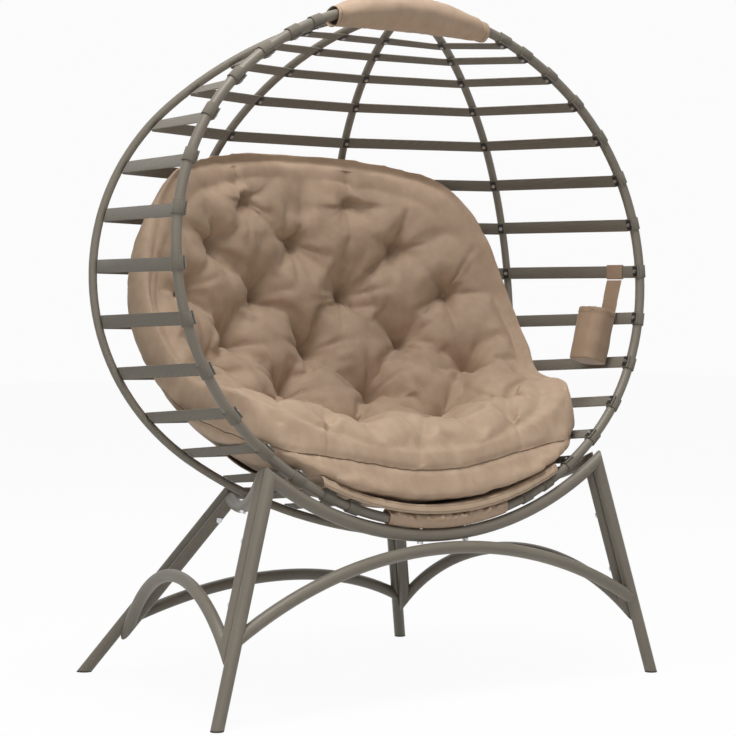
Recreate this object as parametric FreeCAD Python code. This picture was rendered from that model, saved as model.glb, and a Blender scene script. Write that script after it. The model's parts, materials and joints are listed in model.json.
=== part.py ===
"""Round lounge chair: a hooped ball of steel tube and webbing on a four-legged welded base.

All sizes are in millimetres. X is the sitter's left, the open front faces -Y, Z is up.
The ball is drawn about its own upright axis, leaned back, and set on the base.
"""
import math
import os

import FreeCAD
import Part

V = FreeCAD.Vector

# Driving dimensions: ball
RING_HALF_WIDTH = 560.0
RING_HALF_HEIGHT = 490.0
RIB_HALF_HEIGHT = 500.0
SIDE_RIB_REACH = 633.0
BACK_RIB_REACH = 594.0
SIDE_RIB_TURN = 35.0
BACK_RIB_TURN = 71.0
RING_TUBE = 19.0
RIB_TUBE = 16.0
TUBE_WALL = 1.4
BALL_LEAN = 6.0
RING_CENTRE_HEIGHT = 820.0

# Driving dimensions: hubs where the ribs meet the ring
HUB_RADIUS = 78.0
HUB_DEPTH = 24.0
LOW_HUB_DEPTH = 44.0
SPIGOT_LENGTH = 36.0
SPIGOT_SCREW = 5.0

# Driving dimensions: webbing straps
STRAP_COUNT = 15
STRAP_MID_ANGLE = 91.0
STRAP_STEP = 11.6
STRAP_CROWDING = 0.0426
STRAP_LEVEL_FROM = 400.0
STRAP_WIDTH = 25.0
STRAP_THICK = 2.0
CLIP_LENGTH = 20.0
CLIP_WIDTH = 11.0
CLIP_THICK = 1.6
SCREW_SHANK = 3.6
SCREW_HEAD = 7.4
SCREW_HEAD_HEIGHT = 2.2

# Driving dimensions: base
LEG_TUBE = 24.0
LEG_WALL = 1.6
FRONT_FOOT = (525.0, -78.0)
FRONT_TOP = (396.0, -51.0, 433.0)
REAR_FOOT = (405.0, 592.0)
REAR_TOP = (203.0, 376.0, 365.0)
FRONT_ARCH_FOOT_HEIGHT = 152.0
FRONT_ARCH_RISE = 132.0
REAR_ARCH_FOOT_HEIGHT = 104.0
REAR_ARCH_RISE = 84.0
SIDE_ARCH_RISE = 115.0
PLUG_RIM = 3.0
PLUG_DEPTH = 22.0
BOLT_SHANK = 6.0
BOLT_HEAD = 12.0
BOLT_HEAD_HEIGHT = 4.0

# Driving dimensions: soft goods
SLEEVE_THICK = 2.5
TOP_SLEEVE_HALF = 183.0
TOP_SLEEVE_END_BACK = 31.0
TOP_SLEEVE_END_RISE = 19.0
TOP_SLEEVE_RISE = 34.0
TOP_SLEEVE_BACK = 86.0
TOP_SLEEVE_FRONT = 17.0
LOW_SLEEVE_HALF = 133.0
PANEL_THICK = 3.0
PANEL_STATIONS = 6
PANEL_DROP = 2.8
PANEL_HALF = 285.0
PANEL_FRONT = -12.0
SEAT_LIFT = 20.0
CUSHION_THICK = 125.0
CUSHION_SIDE_STEP = 30.0
CUSHION_SIDE_BULGE = 18.0
CUSHION_SIDE_SHARE = 0.75
TUFT_RADIUS = 46.0
TUFT_DEPTH = 20.0
POCKET_FROM_RING = 46.0
POCKET_WIDTH = 68.0
POCKET_DEPTH = 66.0
POCKET_HEIGHT = 108.0
POCKET_DROP = 76.0
POCKET_STANDOFF = 9.0
POCKET_WALL = 2.5
POCKET_ROUND = 24.0
TAB_WIDTH = 40.0
TAB_THICK = 2.0
LOOP_SLACK = 0.5

# Cushion stations from the front edge, over the seat and up the back:
# place, half width, rise of the edge above the middle, thickness.
# Seat stations are placed by their distance behind the ring, back stations by height.
SEAT_STATIONS = (
    (-36.0, 262.0, 56.0, 56.0),
    (-8.0, 322.0, 86.0, 90.0),
    (45.0, 378.0, 126.0, 120.0),
    (130.0, 416.0, 158.0, 135.0),
)
BACK_STATIONS = (
    (-400.0, 440.0, 180.0, 135.0),
    (-300.0, 462.0, 200.0, 140.0),
    (-170.0, 467.0, 198.0, 145.0),
    (-20.0, 458.0, 186.0, 145.0),
    (120.0, 425.0, 162.0, 135.0),
    (215.0, 372.0, 125.0, 112.0),
    (268.0, 320.0, 92.0, 84.0),
    (298.0, 250.0, 58.0, 50.0),
)
TUFTS = (
    (2, 0.0), (2, 200.0),
    (3, 105.0), (3, 265.0),
    (4, 0.0), (4, 205.0),
    (5, 105.0), (5, 310.0),
    (6, 0.0), (6, 210.0),
    (7, 105.0), (7, 310.0),
    (8, 0.0), (8, 200.0), (9, 105.0),
)

# Driving dimensions: joints
JOINER_HALF = 36.0
HUB_RIM_GAP = 1.2
HUB_GRIP = 6.0
SPIGOT_SLACK = 1.0
SCREW_TIP = 3.0
FRONT_POST_FOOT_HEIGHT = 133.0
REAR_POST_FOOT_HEIGHT = 100.0
LEG_BOLT_HEIGHTS = (210.0, 320.0)
FRONT_BOLT_OUT = 52.0
BOLT_TIP = 4.0
SADDLE_LEAST_SAG = 5.0
SADDLE_MOST_SAG = 260.0
BISECTIONS = 24
LOFT_DEGREE = 2
HUB_WALL = 4.0
SADDLE_NOTCH = (200.0, 37.0, 25.0)

# Clearances
SKIN = 0.3
HOLE_SLACK = 0.3


def oval_radii(reach, half):
    """Radii of the side arc and of the crown arc of a four-arc oval."""
    diagonal = math.hypot(reach, half)
    square = reach * reach + half * half
    side = (square - (reach - half) * diagonal) / (2 * reach)
    crown = (square + (reach - half) * diagonal) / (2 * half)
    return side, crown


class Hoop:
    """Half of a four-arc oval standing in an upright plane through the ball's axis."""

    def __init__(self, reach, half, turn, middle=0.0):
        self.reach = reach
        self.half = half
        self.middle = middle
        self.out = V(math.cos(math.radians(turn)), math.sin(math.radians(turn)), 0)
        self.side, self.crown = oval_radii(reach, half)
        rise = self.crown - half
        run = reach - self.side
        span = math.hypot(run, rise)
        self.join_out = run + self.side * run / span
        self.join_up = self.side * rise / span

    def place(self, out, up):
        return self.out * out + V(0, 0, up + self.middle)

    def at_height(self, height):
        """Point, tangent and inward normal of the hoop at a height on the ball's axis."""
        up = height - self.middle
        if abs(up) <= self.join_up:
            centre_out = self.reach - self.side
            centre_up = 0.0
            out = centre_out + math.sqrt(self.side ** 2 - up ** 2)
        else:
            centre_out = 0.0
            centre_up = -math.copysign(self.crown - self.half, up)
            out = math.sqrt(self.crown ** 2 - (up - centre_up) ** 2)
        normal = self.out * (centre_out - out) + V(0, 0, centre_up - up)
        normal.normalize()
        across = self.out.cross(V(0, 0, 1))
        tangent = normal.cross(across)
        return self.place(out, up), tangent, normal

    def crown_up(self, out):
        return math.sqrt(self.crown ** 2 - out ** 2) - self.crown + self.half

    def edges(self, start_out):
        """Three tangent arcs from the top to the bottom, starting a little off the axis."""
        mid_top = (start_out + self.join_out) / 2
        top = [self.place(start_out, self.crown_up(start_out)),
               self.place(mid_top, self.crown_up(mid_top)),
               self.place(self.join_out, self.join_up)]
        flank = [top[2], self.place(self.reach, 0), self.place(self.join_out, -self.join_up)]
        low = [flank[2],
               self.place(mid_top, -self.crown_up(mid_top)),
               self.place(start_out, -self.crown_up(start_out))]
        return [Part.Arc(*points).toShape() for points in (top, flank, low)]


def disc(centre, axis, radius):
    return Part.Wire(Part.Circle(centre, axis, radius).toShape())


def sweep(edges, radius):
    """Solid round bar along a chain of tangent edges."""
    path = Part.Wire(edges)
    first = edges[0]
    begin = first.valueAt(first.FirstParameter)
    axis = first.tangentAt(first.FirstParameter)
    shell = path.makePipeShell([disc(begin, axis, radius)], True, False)
    return shell


def rod(begin, end, radius):
    along = end - begin
    return Part.makeCylinder(radius, along.Length, begin, along)


def tube(edges, diameter, wall):
    return sweep(edges, diameter / 2).cut(sweep(edges, diameter / 2 - wall))


def block(centre, along, across, size):
    """Box of a size given along, across and through, centred on a point."""
    x = V(along).normalize()
    z = x.cross(across).normalize()
    y = z.cross(x)
    corner = centre - x * (size[0] / 2) - y * (size[1] / 2) - z * (size[2] / 2)
    box = Part.makeBox(*size)
    box.Placement = FreeCAD.Placement(corner, FreeCAD.Rotation(x, y, z, "XYZ"))
    return box


def half_space(point, normal):
    """A large block filling the side of a plane that its normal points to."""
    reach = 3 * RING_HALF_WIDTH
    across = normal.cross(V(0.3, 0.5, 0.8))
    return block(point + normal * (reach / 2), normal, across, (reach, reach, reach))


def lean(shape):
    """Set a piece drawn about the ball's axis in its place on the base."""
    shape = shape.copy()
    shape.rotate(V(0, 0, 0), V(1, 0, 0), -BALL_LEAN)
    shape.translate(V(0, 0, RING_CENTRE_HEIGHT))
    return shape


def lean_point(point):
    turn = FreeCAD.Rotation(V(1, 0, 0), -BALL_LEAN)
    return turn.multVec(point) + V(0, 0, RING_CENTRE_HEIGHT)


RING_R = RING_TUBE / 2
RIB_R = RIB_TUBE / 2
LEG_R = LEG_TUBE / 2
RIB_MIDDLE = RING_HALF_HEIGHT - RIB_HALF_HEIGHT
RING_LEFT = Hoop(RING_HALF_WIDTH, RING_HALF_HEIGHT, 180)
RING_RIGHT = Hoop(RING_HALF_WIDTH, RING_HALF_HEIGHT, 0)
RIBS = {
    "rib_side_left": Hoop(SIDE_RIB_REACH, RIB_HALF_HEIGHT, 180 - SIDE_RIB_TURN, RIB_MIDDLE),
    "rib_back_left": Hoop(BACK_RIB_REACH, RIB_HALF_HEIGHT, 180 - BACK_RIB_TURN, RIB_MIDDLE),
    "rib_back_right": Hoop(BACK_RIB_REACH, RIB_HALF_HEIGHT, BACK_RIB_TURN, RIB_MIDDLE),
    "rib_side_right": Hoop(SIDE_RIB_REACH, RIB_HALF_HEIGHT, SIDE_RIB_TURN, RIB_MIDDLE),
}


def pin(seat, into, shank, length, head, head_height):
    """Screw or bolt with its head on a seat point and its shank going into the work."""
    way = V(into).normalize()
    stem = rod(seat, seat + way * length, shank / 2)
    cap = rod(seat - way * head_height, seat, head / 2)
    return cap.fuse(stem).removeSplitter()


def bore(seat, into, shank, length):
    """Clearance hole for a pin."""
    way = V(into).normalize()
    return rod(seat - way * SKIN, seat + way * (length + SKIN), shank / 2 + HOLE_SLACK)


def drill(shape, tools):
    return shape.cut(Part.makeCompound(tools)) if tools else shape


# Ring: two bent halves butted at top and bottom over joiner plugs
def ring_half(hoop):
    return tube(hoop.edges(0.0), RING_TUBE, TUBE_WALL)


def ring_joiner(side):
    """Plug inside the tube, bridging the butt joint; side is 1 at the top, -1 at the bottom."""
    sag = RING_RIGHT.half - RING_RIGHT.crown_up(JOINER_HALF)
    up = side * RING_HALF_HEIGHT
    ends = [V(x, 0, up - side * sag) for x in (-JOINER_HALF, JOINER_HALF)]
    arc = Part.Arc(ends[0], V(0, 0, up), ends[1]).toShape()
    return sweep([arc], RING_R - TUBE_WALL - SKIN)


# Hubs: half discs behind the ring with a spigot for each rib
def hub(side):
    end_up = RIB_MIDDLE + side * next(iter(RIBS.values())).crown_up(HUB_RADIUS)
    depth = HUB_DEPTH if side > 0 else LOW_HUB_DEPTH
    low = end_up - HUB_DEPTH / 2
    plate = Part.makeCylinder(HUB_RADIUS - HUB_RIM_GAP, depth, V(0, 0, low))
    plate = plate.cut(half_space(V(0, RING_R + SKIN, 0), V(0, -1, 0)))
    recess = Part.makeCylinder(HUB_RADIUS - HUB_RIM_GAP - HUB_WALL, depth, V(0, 0, low - side * HUB_WALL))
    plate = plate.cut(recess.cut(half_space(V(0, RING_R + SKIN + HUB_WALL, 0), V(0, -1, 0))))
    if side < 0:
        saddle_room = V(0, 0, -RING_HALF_HEIGHT - RING_R - LEG_R)
        plate = plate.cut(block(saddle_room, V(1, 0, 0), V(0, 1, 0), SADDLE_NOTCH))
    for hoop in RIBS.values():
        point, tangent = rib_end(hoop, side)
        stem = rod(point - tangent * HUB_GRIP, point + tangent * SPIGOT_LENGTH, spigot_radius())
        plate = plate.fuse(stem)
    return plate.removeSplitter()


def spigot_radius():
    return RIB_R - TUBE_WALL - SPIGOT_SLACK


def rib_end(hoop, side):
    """End point of a rib at a hub, and the direction in which the rib leaves the hub."""
    point = hoop.place(HUB_RADIUS, side * hoop.crown_up(HUB_RADIUS))
    centre = hoop.place(0, side * (hoop.half - hoop.crown))
    across = hoop.out.cross(V(0, 0, 1))
    tangent = (point - centre).cross(across) * side
    return point, tangent.normalize()


def hub_screw_spots():
    spots = []
    for name, hoop in RIBS.items():
        for side in (1, -1):
            point, tangent = rib_end(hoop, side)
            normal = hoop.out.cross(V(0, 0, 1)).cross(tangent).normalize()
            if normal.z * side < 0:
                normal = normal * -1
            seat = point + tangent * (SPIGOT_LENGTH / 2) + normal * (RIB_R + SPIGOT_SLACK / 2)
            spots.append((name, side, seat, normal * -1))
    return spots


# Straps: flat webbing across the ribs' inner sides, looped round the ring at both ends
def strap_height(index):
    step = index - (STRAP_COUNT - 1) / 2
    angle = STRAP_MID_ANGLE + STRAP_STEP * step - STRAP_CROWDING * step ** 3
    return RING_HALF_HEIGHT * math.cos(math.radians(angle))


def strap_rise(point):
    """How far a strap climbs along the leaning ball to run level behind; the low straps don't."""
    share = min(1, max(0, (point.z + STRAP_LEVEL_FROM) / STRAP_LEVEL_FROM))
    return point.y * math.tan(math.radians(BALL_LEAN)) * share


def strap_stations(index):
    """Each crossing as centre, run direction, width direction, inward normal and tube radius."""
    height = strap_height(index)
    stations = []
    for hoop in [RING_LEFT, *RIBS.values(), RING_RIGHT]:
        point, tangent, normal = hoop.at_height(height)
        ring = hoop in (RING_LEFT, RING_RIGHT)
        if not ring:
            point, tangent, normal = hoop.at_height(height + strap_rise(point))
        radius = RING_R if ring else RIB_R
        lift = radius + SKIN + STRAP_THICK / 2 + (SKIN if ring else 0)
        stations.append((point + normal * lift, hoop.out.cross(V(0, 0, 1)), tangent, normal, radius))
    return stations


def band_section(centre, width_way, normal):
    half = width_way * (STRAP_WIDTH / 2)
    skin = normal * (STRAP_THICK / 2)
    corners = [centre + half + skin, centre - half + skin, centre - half - skin, centre + half - skin]
    return Part.makePolygon(corners + corners[:1])


def strap(index):
    stations = strap_stations(index)
    sections = []
    for centre, run, width_way, normal, radius in stations:
        for shift in (-radius, radius):
            sections.append(band_section(centre + run * shift, width_way, normal))
    band = Part.makeLoft(sections, True, True)
    for centre, run, width_way, normal, radius in (stations[0], stations[-1]):
        axis_point = centre - normal * (radius + 2 * SKIN + STRAP_THICK / 2)
        begin = axis_point - width_way * (STRAP_WIDTH / 2)
        end = axis_point + width_way * (STRAP_WIDTH / 2)
        band = band.fuse(rod(begin, end, radius + SKIN + STRAP_THICK))
        band = band.cut(rod(begin - width_way, end + width_way, radius + SKIN))
    return band.removeSplitter()


def clip_spots():
    """Seat on the strap, inward normal, width direction and the crossed tube for every clip."""
    names = ["ring_left", *RIBS, "ring_right"]
    spots = []
    for index in range(STRAP_COUNT):
        for name, station in zip(names, strap_stations(index)):
            centre, run, width_way, normal, radius = station
            spots.append((index, name, centre + normal * (STRAP_THICK / 2), normal, width_way))
    return spots


def clip(seat, normal, width_way):
    centre = seat + normal * (CLIP_THICK / 2)
    return block(centre, width_way, normal.cross(width_way), (CLIP_LENGTH, CLIP_WIDTH, CLIP_THICK))


# Base: front and rear frames carry the legs, side frames stand against them
def corner(point, side):
    return V(side * point[0], point[1], point[2] if len(point) > 2 else 0.0)


def leg_axis(foot, top, side):
    return corner(foot, side), corner(top, side)


def on_axis(axis, height):
    foot, top = axis
    return foot + (top - foot) * ((height - foot.z) / (top.z - foot.z))


def post_axis(axis, toward):
    """Axis of the side post, one tube away from the leg along the side of the base."""
    foot, top = axis
    along = (top - foot).normalize()
    way = V(0, toward, 0)
    way = (way - along * way.dot(along)).normalize()
    step = way * (LEG_TUBE + SKIN)
    return foot + step, top + step


def arc3(begin, middle, end):
    return Part.Arc(begin, middle, end).toShape()


def cradle(begin, end, sag_way, rails, reach):
    """Arc between two corners that sags until it hangs clear of the rails by a reach."""
    middle = (begin + end) / 2
    near, far = SADDLE_LEAST_SAG, SADDLE_MOST_SAG
    for _ in range(BISECTIONS):
        sag = (near + far) / 2
        edge = arc3(begin, middle + sag_way * sag, end)
        if edge.distToShape(rails)[0] < reach:
            near = sag
        else:
            far = sag
    return arc3(begin, middle + sag_way * far, end)


def ends_of(edge):
    first, last = edge.FirstParameter, edge.LastParameter
    return ((edge.valueAt(first), edge.tangentAt(first)),
            (edge.valueAt(last), edge.tangentAt(last) * -1))


def bent_tube(edge, radius):
    """Round bar along an arc, run on straight past both ends for the mitre cuts."""
    bar = sweep([edge], radius)
    for point, inward in ends_of(edge):
        bar = bar.fuse(rod(point - inward * (2 * LEG_TUBE), point, radius))
    return bar.removeSplitter()


def hollow(make, radius, wall):
    return make(radius).cut(make(radius - wall))


def mitre(shape, point, own_way, other_way):
    """Cut a tube at a corner, square to the line that halves the corner."""
    normal = (own_way - other_way).normalize()
    return shape.cut(half_space(point, normal * -1))


def straight_tube(begin, end, radius):
    along = (end - begin).normalize() * (2 * LEG_TUBE)
    return rod(begin - along, end + along, radius)


def foot_plug(axis, radius):
    """Plastic foot: a rim under the tube's end and a stem pressed up inside it."""
    foot, top = axis
    below = foot - (top - foot) * 0.2
    rim = rod(below, top, radius).common(slab(0, PLUG_RIM))
    stem = rod(below, top, radius - LEG_WALL - SKIN).common(slab(PLUG_RIM, PLUG_DEPTH))
    return rim.fuse(stem).removeSplitter()


def slab(low, high):
    side = 4 * RING_HALF_WIDTH
    return Part.makeBox(side, side, high - low, V(-side / 2, -side / 2, low))


def build_base(parts, rails):
    """Four welded frames of mitred tube, their bolts and their feet."""
    axes = {}
    for side, hand in ((-1, "left"), (1, "right")):
        axes["front_" + hand] = leg_axis(FRONT_FOOT, FRONT_TOP, side)
        axes["rear_" + hand] = leg_axis(REAR_FOOT, REAR_TOP, side)
    posts = {name: post_axis(axis, 1 if name.startswith("front") else -1) for name, axis in axes.items()}
    down = V(0, 0, -1)
    sleeve_room = SLEEVE_THICK + SKIN
    saddles = {
        "front": cradle(axes["front_left"][1], axes["front_right"][1], down,
                        rails["ring"], LEG_R + RING_R + SKIN + sleeve_room),
        "rear": cradle(axes["rear_left"][1], axes["rear_right"][1], V(0, -1, -1).normalize(),
                       rails["back"], LEG_R + RIB_R + SKIN),
    }
    for hand in ("left", "right"):
        saddles[hand] = cradle(posts["front_" + hand][1], posts["rear_" + hand][1], down,
                               rails["side_" + hand], LEG_R + RIB_R + SKIN)

    bolts = []
    holes = {}

    def fasten(seat, way, length, *names):
        bolts.append(pin(seat, way, BOLT_SHANK, length, BOLT_HEAD, BOLT_HEAD_HEIGHT))
        for name in names:
            holes.setdefault(name, []).append(bore(seat, way, BOLT_SHANK, length))

    for name, axis in axes.items():
        post = posts[name]
        way = (axis[0] - post[0]).normalize()
        for height in LEG_BOLT_HEIGHTS:
            seat = on_axis(post, height) - way * LEG_R
            length = LEG_TUBE + SKIN + LEG_WALL + BOLT_TIP
            fasten(seat, way, length, name + "_leg", name + "_post")

    def clamp(saddle_name, target, target_name, extra=0.0):
        gap, pairs, _ = saddles[saddle_name].distToShape(target)
        begin, end = pairs[0]
        way = (end - begin).normalize()
        seat = begin - way * LEG_R
        length = LEG_TUBE + extra + SKIN + TUBE_WALL + BOLT_TIP
        fasten(seat, way, length, saddle_name + "_saddle", target_name, *(["bottom_sleeve"] if extra else []))

    for side, hand in ((-1, "left"), (1, "right")):
        spot = lean_point(V(side * FRONT_BOLT_OUT, 0, -RING_RIGHT.crown_up(FRONT_BOLT_OUT)))
        clamp("front", Part.Vertex(spot), "ring_" + hand, sleeve_room + SKIN)
        clamp(hand, rails["side_" + hand], "rib_side_" + hand)
        clamp("rear", rails["back_" + hand], "rib_back_" + hand)

    for name, axis in axes.items():
        end, hand = name.split("_")
        foot, top = axis
        down_leg = (foot - top).normalize()
        saddle_way = ends_of(saddles[end])[0 if hand == "left" else 1][1]
        leg = hollow(lambda radius: straight_tube(foot, top, radius), LEG_R, LEG_WALL)
        leg = mitre(leg, top, down_leg, saddle_way)
        leg = leg.cut(slab(-4 * LEG_TUBE, PLUG_RIM))
        parts[name + "_leg"] = drill(leg, holes[name + "_leg"])
    parts["foot_plugs"] = Part.makeCompound([foot_plug(axis, LEG_R) for axis in axes.values()])

    arch_feet = {"front": FRONT_ARCH_FOOT_HEIGHT, "rear": REAR_ARCH_FOOT_HEIGHT}
    arch_rise = {"front": FRONT_ARCH_RISE, "rear": REAR_ARCH_RISE}
    for end in ("front", "rear"):
        saddle = hollow(lambda radius: bent_tube(saddles[end], radius), LEG_R, LEG_WALL)
        for (point, inward), hand in zip(ends_of(saddles[end]), ("left", "right")):
            foot, top = axes[end + "_" + hand]
            saddle = mitre(saddle, point, inward, (foot - top).normalize())
        parts[end + "_saddle"] = drill(saddle, holes[end + "_saddle"])
        begin = on_axis(axes[end + "_left"], arch_feet[end])
        finish = on_axis(axes[end + "_right"], arch_feet[end])
        up = (axes[end + "_left"][1] + axes[end + "_right"][1] - begin - finish).normalize()
        edge = arc3(begin, (begin + finish) / 2 + up * arch_rise[end], finish)
        arch = hollow(lambda radius: sweep([edge], radius), LEG_R, LEG_WALL)
        for hand in ("left", "right"):
            foot, top = axes[end + "_" + hand]
            arch = arch.cut(rod(foot, top, LEG_R + SKIN))
            arch = arch.cut(straight_tube(*posts[end + "_" + hand], LEG_R + SKIN))
        parts[end + "_arch"] = biggest(arch)

    for hand in ("left", "right"):
        lows = {"front": on_axis(posts["front_" + hand], FRONT_POST_FOOT_HEIGHT),
                "rear": on_axis(posts["rear_" + hand], REAR_POST_FOOT_HEIGHT)}
        tops = {end: posts[end + "_" + hand][1] for end in lows}
        middle = (lows["front"] + lows["rear"]) / 2 + V(0, 0, SIDE_ARCH_RISE)
        edge = arc3(lows["front"], middle, lows["rear"])
        arch = hollow(lambda radius: bent_tube(edge, radius), LEG_R, LEG_WALL)
        saddle = hollow(lambda radius: bent_tube(saddles[hand], radius), LEG_R, LEG_WALL)
        for index, end in enumerate(("front", "rear")):
            rise = (tops[end] - lows[end]).normalize()
            low_way = ends_of(edge)[index][1]
            top_way = ends_of(saddles[hand])[index][1]
            post = hollow(lambda radius: straight_tube(lows[end], tops[end], radius), LEG_R, LEG_WALL)
            post = mitre(post, lows[end], rise, low_way)
            post = mitre(post, tops[end], rise * -1, top_way)
            arch = mitre(arch, lows[end], low_way, rise)
            saddle = mitre(saddle, tops[end], top_way, rise * -1)
            parts[end + "_" + hand + "_post"] = drill(post, holes[end + "_" + hand + "_post"])
        parts[hand + "_arch"] = biggest(arch)
        parts[hand + "_saddle"] = drill(biggest(saddle), holes[hand + "_saddle"])
    parts["frame_bolts"] = Part.makeCompound(bolts)
    return holes


def biggest(shape):
    return max(shape.Solids, key=lambda solid: solid.Volume)


def build_ball(parts, holes):
    """Ring, ribs, hubs, straps and their fixings, drawn about the ball's axis, then leaned."""
    raw = {"ring_left": ring_half(RING_LEFT), "ring_right": ring_half(RING_RIGHT)}
    for name, hoop in RIBS.items():
        raw[name] = tube(hoop.edges(HUB_RADIUS), RIB_TUBE, TUBE_WALL)
    raw["top_hub"] = hub(1)
    raw["bottom_hub"] = hub(-1)
    raw["ring_joiners"] = Part.makeCompound([ring_joiner(1), ring_joiner(-1)])
    bores = {}
    screws = []
    for name, side, seat, way in hub_screw_spots():
        length = RIB_R + spigot_radius() / 2
        screws.append(pin(seat, way, SPIGOT_SCREW, length, 2 * SPIGOT_SCREW, SPIGOT_SCREW / 2))
        tool = bore(seat, way, SPIGOT_SCREW, length)
        bores.setdefault(name, []).append(tool)
        bores.setdefault("top_hub" if side > 0 else "bottom_hub", []).append(tool)
    raw["hub_screws"] = Part.makeCompound(screws)

    clips = []
    screws = []
    for index, name, seat, normal, width_way in clip_spots():
        head_seat = seat + normal * CLIP_THICK
        wraps = 2 if name.startswith("ring") else 1
        length = CLIP_THICK + wraps * (STRAP_THICK + SKIN) + TUBE_WALL + SCREW_TIP
        screws.append(pin(head_seat, normal * -1, SCREW_SHANK, length, SCREW_HEAD, SCREW_HEAD_HEIGHT))
        tool = bore(head_seat, normal * -1, SCREW_SHANK, length)
        clips.append(clip(seat, normal, width_way).cut(tool))
        bores.setdefault(name, []).append(tool)
        bores.setdefault("strap_%02d" % (index + 1), []).append(tool)
    raw["strap_clips"] = Part.makeCompound(clips)
    raw["clip_screws"] = Part.makeCompound(screws)
    for index in range(STRAP_COUNT):
        raw["strap_%02d" % (index + 1)] = strap(index)
    for name, shape in raw.items():
        placed = lean(drill(shape, bores.get(name)))
        parts[name] = drill(placed, holes.get(name))
    return raw


# Soft goods: fabric sleeves over the hubs, seat panel, tufted cushion, bottle pocket
def oval_wire(centre, long_way, short_way, long_half, short_half):
    """Closed four-arc oval in the plane of two directions."""
    side, crown = oval_radii(long_half, short_half)
    run = long_half - side
    rise = crown - short_half
    span = math.hypot(run, rise)
    if span < SKIN:
        out = up = long_half / math.sqrt(2)
    else:
        out = run + side * run / span
        up = side * rise / span

    def at(x, y):
        return centre + long_way * x + short_way * y

    corners = [(out, -up), (long_half, 0), (out, up), (0, short_half),
               (-out, up), (-long_half, 0), (-out, -up), (0, -short_half), (out, -up)]
    points = [at(*pair) for pair in corners]
    arcs = [Part.Arc(*points[start:start + 3]).toShape() for start in (0, 2, 4, 6)]
    return Part.Wire(arcs)


def sleeve_loft(inset):
    sections = []
    end = RING_R + SKIN + SLEEVE_THICK
    for share in (-1, -0.5, 0, 0.5, 1):
        swell = 1 - share * share
        back = TOP_SLEEVE_END_BACK + swell * (TOP_SLEEVE_BACK - TOP_SLEEVE_END_BACK)
        front = end + swell * (TOP_SLEEVE_FRONT - end)
        half = TOP_SLEEVE_END_RISE + swell * (TOP_SLEEVE_RISE - TOP_SLEEVE_END_RISE)
        x = share * TOP_SLEEVE_HALF
        centre = V(x, (back - front) / 2, RING_RIGHT.crown_up(abs(x)))
        sections.append(oval_wire(centre, V(0, 1, 0), V(0, 0, 1), (back + front) / 2 - inset, half - inset))
    return Part.makeLoft(sections, True, False)


def top_sleeve():
    cover = sleeve_loft(0.0).cut(sleeve_loft(SLEEVE_THICK))
    for hoop in (RING_LEFT, RING_RIGHT):
        cover = cover.cut(sweep(hoop.edges(0.0), RING_R + SKIN))
    for hoop in RIBS.values():
        cover = cover.cut(sweep(hoop.edges(HUB_RADIUS), RIB_R + SKIN))
    return biggest(cover)


def bottom_sleeve():
    up = RING_RIGHT.crown_up(LOW_SLEEVE_HALF)
    arc = arc3(V(-LOW_SLEEVE_HALF, 0, -up), V(0, 0, -RING_HALF_HEIGHT), V(LOW_SLEEVE_HALF, 0, -up))
    cover = sweep([arc], RING_R + SKIN + SLEEVE_THICK).cut(sweep([arc], RING_R + SKIN))
    gap = HUB_RADIUS + SKIN
    slot = Part.makeBox(2 * gap, gap, gap, V(-gap, RING_R / 2, -RING_HALF_HEIGHT - gap / 2))
    return biggest(cover.cut(slot))


def cushion_frames():
    """Origin, inward normal, half width, edge rise and thickness of each cushion station."""
    bed_gap = RIB_R + STRAP_THICK + PANEL_THICK + PANEL_DROP + 3 * SKIN
    reach = BACK_RIB_REACH * math.sin(math.radians(BACK_RIB_TURN)) - bed_gap
    bed = Hoop(reach, RIB_HALF_HEIGHT - bed_gap, 90, RIB_MIDDLE)
    level = RING_R + SLEEVE_THICK + PANEL_THICK + 3 * SKIN + SEAT_LIFT - RING_HALF_HEIGHT
    frames = [(V(0, y, level), V(0, 0, 1), *rest) for y, *rest in SEAT_STATIONS]
    for height, *rest in BACK_STATIONS:
        point, tangent, normal = bed.at_height(height)
        frames.append((point, normal, *rest))
    return frames


def bowl_radius(half, rise):
    return (half * half + rise * rise) / (2 * rise)


def cushion_section(frame):
    """Crescent of four arcs: under face, two bulging sides and crowned upper face."""
    origin, normal, half, rise, thick = frame
    upper_half = half - CUSHION_SIDE_STEP * (thick / CUSHION_THICK)
    upper_rise = rise + CUSHION_SIDE_SHARE * thick
    side_out = (half + upper_half) / 2 + CUSHION_SIDE_BULGE * (thick / CUSHION_THICK)
    side_rise = (rise + upper_rise) / 2

    def at(x, y):
        return origin + V(x, 0, 0) + normal * y

    low = [at(-half, rise), at(0, 0), at(half, rise)]
    right = [low[2], at(side_out, side_rise), at(upper_half, upper_rise)]
    top = [right[2], at(0, thick), at(-upper_half, upper_rise)]
    left = [top[2], at(-side_out, side_rise), low[0]]
    return Part.Wire([arc3(*points) for points in (low, right, top, left)])


def upper_spot(frame, out):
    """Point and outward normal on the cushion's upper face at a distance from the middle."""
    origin, normal, half, rise, thick = frame
    upper_half = half - CUSHION_SIDE_STEP * (thick / CUSHION_THICK)
    sag = rise + CUSHION_SIDE_SHARE * thick - thick
    bend = bowl_radius(upper_half, sag)
    up = thick + bend - math.sqrt(bend * bend - out * out)
    facing = (V(-out, 0, 0) + normal * (bend + thick - up)).normalize()
    return origin + V(out, 0, 0) + normal * up, facing


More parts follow.
